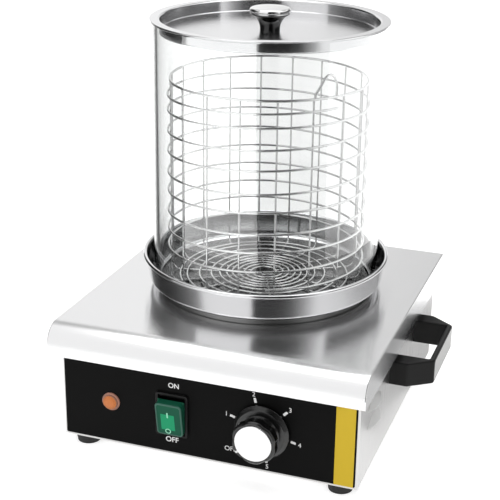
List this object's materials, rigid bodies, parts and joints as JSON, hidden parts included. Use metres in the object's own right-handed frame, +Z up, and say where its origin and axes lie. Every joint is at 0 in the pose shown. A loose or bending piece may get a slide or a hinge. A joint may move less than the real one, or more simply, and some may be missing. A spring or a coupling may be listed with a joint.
{
  "type": "hot dog steamer",
  "caption": "Countertop steamer: sheet metal base with front controls and side handles, a water pan, a clear glass tube, a wire basket inside it and a dished lid with a knob.",
  "frame": {"origin": "on the surface it stands on, under the middle of the overall box", "axes": "+Z up, the front controls face -Y, +X to the right seen from the front"},
  "size_m": [0.3292, 0.3094, 0.3591],
  "materials": {
    "body_steel": "bright fine-brushed stainless sheet",
    "facing_black": "satin black printed facing",
    "stripe_yellow": "yellow printed stripe",
    "handle_black": "moulded black plastic",
    "handle_facing": "bright satin facing",
    "rubber_black": "black rubber",
    "pan_steel": "spun stainless steel",
    "lid_steel": "polished stainless steel",
    "knob_chrome": "bright chrome",
    "basket_wire": "bright plated wire",
    "clear_glass": "clear heat-proof glass",
    "heater_metal": "cast aluminium",
    "element_metal": "heat-darkened sheath",
    "zinc_steel": "zinc-plated steel",
    "wool": "mineral wool",
    "cutout_ceramic": "ceramic case",
    "case_plastic": "moulded case",
    "block_plastic": "pale moulded plastic",
    "gland_plastic": "black nylon",
    "terminal_brass": "brass",
    "dial_black": "black moulded knob",
    "dial_cap": "satin bright disc",
    "rocker_green": "translucent green",
    "lens_amber": "translucent amber lens",
    "wire_brown": "insulated wire",
    "wire_blue": "insulated wire",
    "wire_green": "insulated wire"
  },
  "bodies": {
    "base": {"body_shell": "body_steel", "top_cover": "body_steel", "bottom_plate": "body_steel", "front_overlay": "facing_black", "overlay_stripe": "stripe_yellow", "handle_right": "handle_black", "handle_left": "handle_black", "handle_insert_right": "handle_facing", "handle_insert_left": "handle_facing", "feet": "rubber_black", "heater_plate": "heater_metal", "heating_element": "element_metal", "sensor_bulb": "element_metal", "capillary_tube": "element_metal", "element_clamp": "zinc_steel", "clamp_nut": "zinc_steel", "heat_shield": "zinc_steel", "shield_spacers": "zinc_steel", "shield_screws": "zinc_steel", "bottom_screws": "zinc_steel", "cover_nuts": "zinc_steel", "handle_screws": "zinc_steel", "foot_screws": "zinc_steel", "foot_nuts": "zinc_steel", "thermostat_screws": "zinc_steel", "switch_pivot_pin": "zinc_steel", "lamp_nut": "zinc_steel", "earth_stud": "zinc_steel", "insulation_pad": "wool", "thermal_cutout": "cutout_ceramic", "thermostat_body": "case_plastic", "switch_housing": "case_plastic", "pilot_lamp_body": "case_plastic", "terminal_block": "block_plastic", "cable_gland": "gland_plastic", "gland_locknut": "gland_plastic", "switch_terminals": "terminal_brass", "pilot_lamp_lens": "lens_amber", "wire_live": "wire_brown", "wire_thermostat": "wire_brown", "wire_element": "wire_brown", "wire_cutout": "wire_brown", "wire_lamp": "wire_brown", "wire_neutral": "wire_blue", "wire_earth": "wire_green"},
    "pan": {"water_pan": "pan_steel"},
    "glass": {"glass_cylinder": "clear_glass"},
    "basket": {"basket_uprights": "basket_wire", "basket_base_spokes": "basket_wire", "basket_helix": "basket_wire", "basket_top_ring": "basket_wire", "basket_base_spiral": "basket_wire", "basket_lift_loop": "basket_wire"},
    "lid": {"lid_dish": "lid_steel", "lid_knob": "knob_chrome", "lid_knob_screw": "zinc_steel"},
    "dial": {"thermostat_knob": "dial_black", "knob_cap": "dial_cap", "thermostat_shaft": "zinc_steel"},
    "rocker": {"switch_rocker": "rocker_green"}
  },
  "joints": [
    {"name": "pan_lift", "type": "slide", "parent": "base", "child": "pan", "axis": [0, 0, 1], "range_m": [0, 0.04]},
    {"name": "glass_lift", "type": "slide", "parent": "pan", "child": "glass", "axis": [0, 0, 1], "range_m": [0, 0.04]},
    {"name": "basket_lift", "type": "slide", "parent": "glass", "child": "basket", "axis": [0, 0, 1], "range_m": [0, 0.24]},
    {"name": "lid_lift", "type": "slide", "parent": "basket", "child": "lid", "axis": [0, 0, 1], "range_m": [0, 0.04]},
    {"name": "dial_turn", "type": "hinge", "parent": "base", "child": "dial", "pos_m": [0.0492, -0.1308, 0.0461], "axis": [0, 1, 0], "range_deg": [0, 290]},
    {"name": "rocker_tilt", "type": "hinge", "parent": "base", "child": "rocker", "pos_m": [-0.0292, -0.1278, 0.0458], "axis": [-1, 0, 0], "range_deg": [0, 20]}
  ]
}
